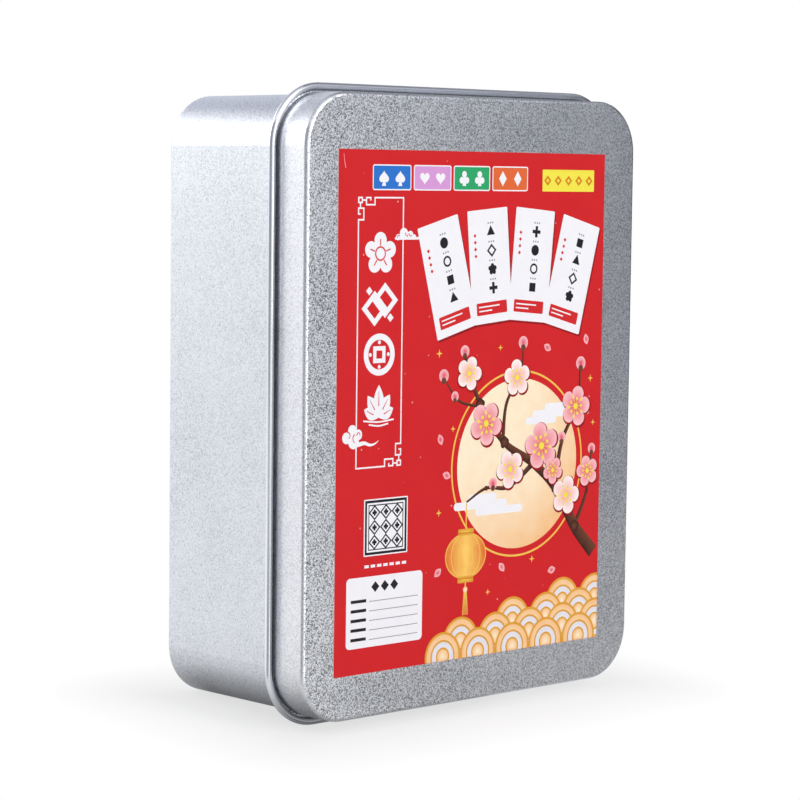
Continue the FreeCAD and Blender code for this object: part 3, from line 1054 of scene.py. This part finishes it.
def print_blossom(blossoms, place, radius, degrees, ink, level):
    shadow = lobed(5, BLOSSOM_SHADOW * radius, PETAL_NOTCH)
    blossoms.patch(placed(shadow, place + PRINT_SHADOW / 2, degrees), "shadow", level)
    petals = placed(lobed(5, radius, PETAL_NOTCH), place, degrees)
    blossoms.patch(petals, ink, level + 1, shade=outward)
    for number in range(STAMENS):
        reach = radius * STAMEN_REACHES[number % len(STAMEN_REACHES)]
        tip = cmath.rect(reach, math.radians(degrees + 360 / STAMENS * (number + 0.5)))
        blossoms.stroke([place + STAMEN_START * tip, place + tip], STAMEN_WIDTH, "gold", level + 2)
        blossoms.patch(circle(ANTHER * radius, 10, place + tip), "yellow", level + 3)
    blossoms.patch(circle(BLOSSOM_EYE * radius, 16, place), "yellow", level + 3)


def print_blossoms(blossoms):
    for number, blossom in enumerate(BLOSSOMS):
        print_blossom(blossoms, *blossom, FIRST_BLOSSOM_LAYER + BLOSSOM_LAYERS * number)
    for place, radius in BUDS:
        blossoms.patch(circle(radius, 24, place), "pink", 10, shade=outward)
        cup = circle(BUD_CUP * radius, 16, place - 1j * BUD_CUP_DROP * radius)
        blossoms.patch(cup, "bark", 11)
    petal = drop(LOOSE_PETAL_LENGTH, LOOSE_PETAL_WIDTH)
    for place, degrees in LOOSE_PETALS:
        blossoms.patch(placed(petal, place, degrees), "pink", 2, shade=outward)


# The lantern
LANTERN = 35.0 + 20.5j
LANTERN_HALF = 5.6 + 4.5j
LANTERN_SIDE_SHADE = 0.9
LANTERN_CORD_TOP = 31.0
LANTERN_CORD = 0.3
# Its ribs, with shares of its width and the angle where they end
RIB_SHARES = (0.35, 0.72, 1.0)
RIB_END = 78
RIB_WIDTH = 0.24
# Its caps, each with a line along it
CAP_GAP = 0.25
CAP_HALF = 2.2 + 0.65j
CAP_CORNER = 0.3
CAP_LINE_INSET = 0.2
CAP_LINE_WIDTH = 0.26
# Its tassel, whose strands spread as they hang
TASSEL_GAP = 0.9
TASSEL_CORD = 2.0
TASSEL_BEAD = 0.62
TASSEL_BEAD_DROP = 1.4
STRANDS = (-2, -1, 0, 1, 2)
STRAND_STEP = 0.16
STRAND_DROP = 1.9
STRAND_SPREAD = 0.2
STRAND_LENGTH = 4.6
STRAND_WIDTHS = (0.2, 0.16)


def lantern_shade(place, share):
    """Bright in the middle and darker to the sides."""
    return abs(place.real - LANTERN.real) / LANTERN_HALF.real * LANTERN_SIDE_SHADE


def print_lantern_body(lantern):
    lantern.patch(placed(stretched(circle(1, 64), LANTERN_HALF), LANTERN), "glow", 3, shade=lantern_shade)
    curve = stretched(arc(0, 1, -RIB_END, RIB_END, 21), LANTERN_HALF)
    for share in RIB_SHARES:
        for side in (-share, share):
            rib = placed(stretched(curve, complex(side, 1)), LANTERN)
            lantern.stroke(rib, RIB_WIDTH, "gold", 5)
    for side in (-1, 1):
        cap = LANTERN + side * 1j * (LANTERN_HALF.imag + CAP_GAP)
        lantern.patch(rounded_box(cap - CAP_HALF, cap + CAP_HALF, CAP_CORNER), "gold", 6, shade=outward)
        inset = cap - 1j * CAP_LINE_INSET * side
        lantern.stroke([inset - CAP_HALF.real, inset + CAP_HALF.real], CAP_LINE_WIDTH, "amber", 7)


def print_tassel(lantern):
    top = LANTERN - 1j * (LANTERN_HALF.imag + TASSEL_GAP)
    lantern.stroke([top, top - 1j * TASSEL_CORD], LANTERN_CORD, "gold", 2)
    lantern.patch(circle(TASSEL_BEAD, 20, top - 1j * TASSEL_BEAD_DROP), "cream", 8, shade=outward)
    for strand in STRANDS:
        start = top + complex(STRAND_STEP * strand, -STRAND_DROP)
        end = start + complex(STRAND_SPREAD * strand, -STRAND_LENGTH)
        lantern.stroke([start, end], STRAND_WIDTHS, "gold", 5 + strand)


def print_lantern(lantern):
    hook = complex(LANTERN.real, LANTERN_CORD_TOP)
    lantern.stroke([hook, LANTERN + 1j * LANTERN_HALF.imag], LANTERN_CORD, "gold", 4)
    print_lantern_body(lantern)
    print_tassel(lantern)


# Waves: overlapping scales in rows that climb to the right, each row behind the one below it
WAVE_RADIUS = 4.9
WAVE_BASE = 0.9
WAVE_ROW_STEP = 2.6
WAVE_ROW_STARTS = (28.9, 33.8, 48.5, 63.2)
WAVE_RINGS = ((1.0, "gold"), (0.9, "cream"), (0.68, "gold"), (0.6, "white"), (0.38, "gold"), (0.3, "cream"))
LABEL_MARGIN = 0.05
LAST_WAVE_MARGIN = 0.3


def on_label(outline):
    """The outline, cut off where it passes the label's right or lower edge."""
    right = LABEL_WIDTH - LABEL_MARGIN
    return [complex(min(point.real, right), max(point.imag, LABEL_MARGIN)) for point in outline]


def print_waves(waves):
    for row, u in enumerate(WAVE_ROW_STARTS):
        level = len(WAVE_RINGS) * (len(WAVE_ROW_STARTS) - 1 - row)
        while u < LABEL_WIDTH - LAST_WAVE_MARGIN:
            centre = complex(u, WAVE_BASE + WAVE_ROW_STEP * row)
            for number, (share, ink) in enumerate(WAVE_RINGS):
                outline = on_label(circle(share * WAVE_RADIUS, 64, centre))
                waves.patch(outline, ink, level + number, centre=centre, shade=outward)
            u += 2 * WAVE_RADIUS


# Sparkles: place and radius
SPARKLES = (
    (27.0 + 61.0j, 0.9), (31.0 + 46.0j, 0.7), (71.6 + 45.2j, 0.7), (27.4 + 29.6j, 0.8),
    (70.6 + 54.4j, 0.8), (44.0 + 61.6j, 0.7), (54.0 + 18.2j, 0.8), (41.4 + 12.6j, 0.7),
)
SPARKLE_WAIST = 0.3


def print_sparkles(sparkles):
    for place, radius in SPARKLES:
        star = []
        for tip, waist in zip(polygon(4, radius), polygon(4, SPARKLE_WAIST * radius, 135)):
            star.extend((tip, waist))
        sparkles.patch(placed(star, place), "gold", 0)


SCRATCH = (1.3 + 99.6j, 1.5 + 98.3j, 1.8 + 96.9j)
SCRATCH_WIDTHS = (0.1, 0.2)


def print_wear(wear):
    """A small scratch through the ink near the label's upper left corner."""
    wear.stroke(smooth(SCRATCH), SCRATCH_WIDTHS, "blush", 0)


# The red line round the face of a stack's front card
CARD_LINE_INSET = 1.6
CARD_LINE_CORNER = 1.8
CARD_LINE_WIDTH = 0.35


def print_top_card(number, name):
    """The printed face of a stack's front card, whose top is at the right."""
    low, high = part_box(f"top_card_{name}")
    origin = Vector(((low.x + high.x) / 2, low.y, (low.z + high.z) / 2))
    size = complex(high.z - low.z, high.x - low.x) / MM
    card = Print(f"card_face_{name}", origin, f"stack_{name}", "card_board")
    half = complex(size.imag, size.real) / 2 - complex(CARD_LINE_INSET, CARD_LINE_INSET)
    card.stroke(rounded_box(-half, half, CARD_LINE_CORNER), CARD_LINE_WIDTH, "red", 0, closed=True)
    card_face(card, number, 0j, -90, size, 0)
    card.build()


# Floor, background and light
FLOOR_SIZE = 8.0
FLOOR_COLOUR = (0.86, 0.86, 0.87, 1)
FLOOR_ROUGHNESS = 0.9
# How far from the tin its shadow fades out, and how much of it the white hides close to the tin
SHADOW_REACH = 22 * MM
FLOOR_LIFT = 0.68
# The floor's level in reflections, a painted shadow of the tin: inside the tin's footprint, near it and
# further away
UNDER_INSET = 6 * MM
UNDER_LEVEL = 0.17
NEAR_REACH = 16 * MM
NEAR_LEVEL = 0.68
FAR_REACH = 60 * MM
FAR_LEVEL = 0.95
AMBIENT = 0.55
# Soft lights: azimuth, elevation, distance, width, height and power
LIGHTS = {
    "key_light": (8, 20, 1.2, 0.5, 0.9, 6.4),
    "back_light": (-156, 23.5, 1.2, 1.1, 0.8, 3.0),
}
# Height of the cards that lie on the floor, and the tints of the two kinds of cards
CARD_LIFT = 0.3 * MM
COOL = (0.96, 1.0, 1.12)
NEUTRAL = (1.0, 1.0, 1.0)
# Grey cards that only the tin's reflections show: width, height, level, azimuth, elevation and distance
STANDING_CARDS = {
    "grey_card_right": (0.245, 0.7, 0.248, 49.3, 4, 0.45),
    "pale_card_right": (0.13, 0.2, 0.66, 40, 28.5, 0.42),
    "dark_card_right": (0.5, 0.7, 0.02, 91, 4, 0.45),
    "grey_card_over_right": (0.8, 0.5, 0.25, 95, 55, 0.6),
    "pale_card_over_right": (0.28, 0.1, 0.4, 70, 40, 0.42),
    "dark_card_behind": (0.2, 0.3, 0.08, 128, 8, 0.6),
    "grey_card_behind": (0.4, 0.42, 0.74, 157, 24, 0.6),
    "grey_card_left": (1.0, 0.8, 0.32, -85, 6, 0.6),
    "grey_card_above": (1.2, 0.9, 0.5, 180, 72, 0.7),
}
# Cards that lie on the floor: width, length, level, turn, and how far aside and ahead
FLOOR_CARDS = {
    "grey_floor_right": (0.5, 0.6, 0.46, 45, 0.212, 0.31),
    "grey_floor_left": (0.38, 0.4, 0.36, 0, -0.26, 0.2),
    "pale_floor_ahead": (0.05, 0.5, 2.0, 3, -0.045, 0.33),
}


def plain_quad(name, width, height):
    mesh = bpy.data.meshes.new(name)
    corners = [(corner.real * width / 2, corner.imag * height / 2, 0) for corner in BOX_CORNERS]
    mesh.from_pydata(corners, [], [(0, 1, 2, 3)])
    return add_object(name, mesh)


def background_rays(nodes, links):
    """1 for the rays that see the background: from the camera, from a gloss and through glass."""
    path = nodes.new("ShaderNodeLightPath")
    seen = path.outputs["Is Camera Ray"]
    for other in ("Is Glossy Ray", "Is Transmission Ray"):
        either = nodes.new("ShaderNodeMath")
        either.operation = "MAXIMUM"
        links.new(seen, either.inputs[0])
        links.new(path.outputs[other], either.inputs[1])
        seen = either.outputs[0]
    return seen


def make_floor():
    """A white floor that touches the bead and the tray's back edge, with a shadow close to the tin.

    In reflections it shows a painted shadow of the tin, darkest under the tin and pale further away.
    """
    lean = math.atan2(tray_low.z - lid_low.z, tray_high.y - TRAY_EDGE - bead_y)
    down = Vector((0, math.sin(lean), -math.cos(lean)))
    floor = plain_quad("floor", FLOOR_SIZE, FLOOR_SIZE)
    floor.rotation_euler = (lean, 0, 0)
    floor.location = Vector((0, bead_y, lid_low.z + BEAD_RADIUS)) + down * BEAD_RADIUS
    recipe = Recipe("white_floor")
    recipe.finish(Base_Color=FLOOR_COLOUR, Roughness=FLOOR_ROUGHNESS)
    emission = recipe.nodes.new("ShaderNodeEmission")
    mix = recipe.nodes.new("ShaderNodeMixShader")
    across, along, _ = recipe.split(recipe.place)
    back = recipe.math("ADD", along, bead_y)
    rays = recipe.nodes.new("ShaderNodeLightPath").outputs
    direct = recipe.math("MAXIMUM", rays["Is Camera Ray"], rays["Is Transmission Ray"])
    beside = recipe.outside(across, lid_high.x, back, tray_high.y)
    lift = recipe.remap(beside, 0, SHADOW_REACH, FLOOR_LIFT, 1.0)
    # Painted shadow for reflections: the floor glows dimmer towards and under the tin
    away = recipe.outside(across, tray_high.x - UNDER_INSET, back, tray_high.y - UNDER_INSET)
    near = recipe.remap(away, 0, NEAR_REACH, UNDER_LEVEL, NEAR_LEVEL)
    far = recipe.remap(away, NEAR_REACH, FAR_REACH, 0, FAR_LEVEL - NEAR_LEVEL)
    reflected_painted_shadow = recipe.math("ADD", near, far)
    glossy = rays["Is Glossy Ray"]
    recipe.put(recipe.remap(glossy, 0, 1, 1.0, reflected_painted_shadow), emission.inputs["Strength"])
    recipe.put(recipe.math("MAXIMUM", recipe.math("MULTIPLY", lift, direct), glossy), mix.inputs[0])
    recipe.put(recipe.shader.outputs[0], mix.inputs[1])
    recipe.put(emission.outputs[0], mix.inputs[2])
    recipe.put(mix.outputs[0], recipe.nodes["Material Output"].inputs["Surface"])
    floor.data.materials.append(recipe.material)
    return floor


def make_world():
    world = bpy.data.worlds.new("studio")
    world.use_nodes = True
    bpy.context.scene.world = world
    nodes = world.node_tree.nodes
    links = world.node_tree.links
    ambient = nodes["Background"]
    ambient.inputs["Color"].default_value = (1, 1, 1, 1)
    ambient.inputs["Strength"].default_value = AMBIENT
    white = nodes.new("ShaderNodeBackground")
    white.inputs["Color"].default_value = (1, 1, 1, 1)
    white.inputs["Strength"].default_value = 1.0
    mix = nodes.new("ShaderNodeMixShader")
    links.new(background_rays(nodes, links), mix.inputs[0])
    links.new(ambient.outputs[0], mix.inputs[1])
    links.new(white.outputs[0], mix.inputs[2])
    links.new(mix.outputs[0], nodes["World Output"].inputs["Surface"])


def aim(item, azimuth, elevation, distance):
    """Put an item round the tin, facing the tin's middle."""
    away = direction(math.radians(azimuth), math.radians(elevation))
    item.location = CAMERA_TARGET + away * distance
    item.rotation_euler = away.to_track_quat("Z", "Y").to_euler()


def lay(item, floor, turn, aside, ahead):
    """Lay an item just over the floor, ahead of the bead along the azimuth turn, and aside of that line."""
    place = Matrix.Translation(Vector((aside, -ahead, CARD_LIFT)))
    item.matrix_world = floor.matrix_basis @ Matrix.Rotation(math.radians(turn), 4, "Z") @ place


def soft_light(name, azimuth, elevation, distance, width, height, power):
    data = bpy.data.lights.new(name, "AREA")
    data.shape = "RECTANGLE"
    data.size = width
    data.size_y = height
    data.energy = power
    aim(add_object(name, data), azimuth, elevation, distance)


def reflector(name, width, height, level, tint):
    """A plain card that shows only in the tin's reflections."""
    card = plain_quad(name, width, height)
    recipe = Recipe(name)
    emission = recipe.nodes.new("ShaderNodeEmission")
    emission.inputs["Color"].default_value = (*tint, 1)
    emission.inputs["Strength"].default_value = level
    recipe.put(emission.outputs[0], recipe.nodes["Material Output"].inputs["Surface"])
    card.data.materials.append(recipe.material)
    card.visible_camera = False
    card.visible_diffuse = False
    card.visible_shadow = False
    card.visible_transmission = False
    return card


def make_stage():
    floor = make_floor()
    make_world()
    for name, values in LIGHTS.items():
        soft_light(name, *values)
    for name, (width, height, level, azimuth, elevation, distance) in STANDING_CARDS.items():
        aim(reflector(name, width, height, level, COOL), azimuth, elevation, distance)
    for name, (width, length, level, turn, aside, ahead) in FLOOR_CARDS.items():
        lay(reflector(name, width, length, level, NEUTRAL), floor, turn, aside, ahead)
    bpy.context.scene.view_settings.view_transform = "Standard"


make_camera()
make_stage()

board_material = card_board()
finishes = {"lid": lid_tin(), "tray": tray_tin(), "lid_label": printed_label()}
for node_name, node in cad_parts.items():
    node.data.materials.clear()
    node.data.materials.append(finishes.get(node_name, board_material))

motifs = {
    "label_tags": print_tags,
    "label_fret_frame": print_frame,
    "label_clouds": print_clouds,
    "label_medallions": print_medallions,
    "label_card_fan": print_card_fan,
    "label_lattice": print_lattice,
    "label_panel": print_panel,
    "label_moon": print_moon,
    "label_waves": print_waves,
    "label_branch": print_branch,
    "label_blossoms": print_blossoms,
    "label_lantern": print_lantern,
    "label_sparkles": print_sparkles,
    "label_scratch": print_wear,
}
for motif_name, draw in motifs.items():
    motif = Print(motif_name, Vector(label_low), "lid", "label_paper")
    draw(motif)
    motif.build()
for stack_number, stack_name in enumerate(("lower", "middle", "upper")):
    print_top_card(stack_number, stack_name)
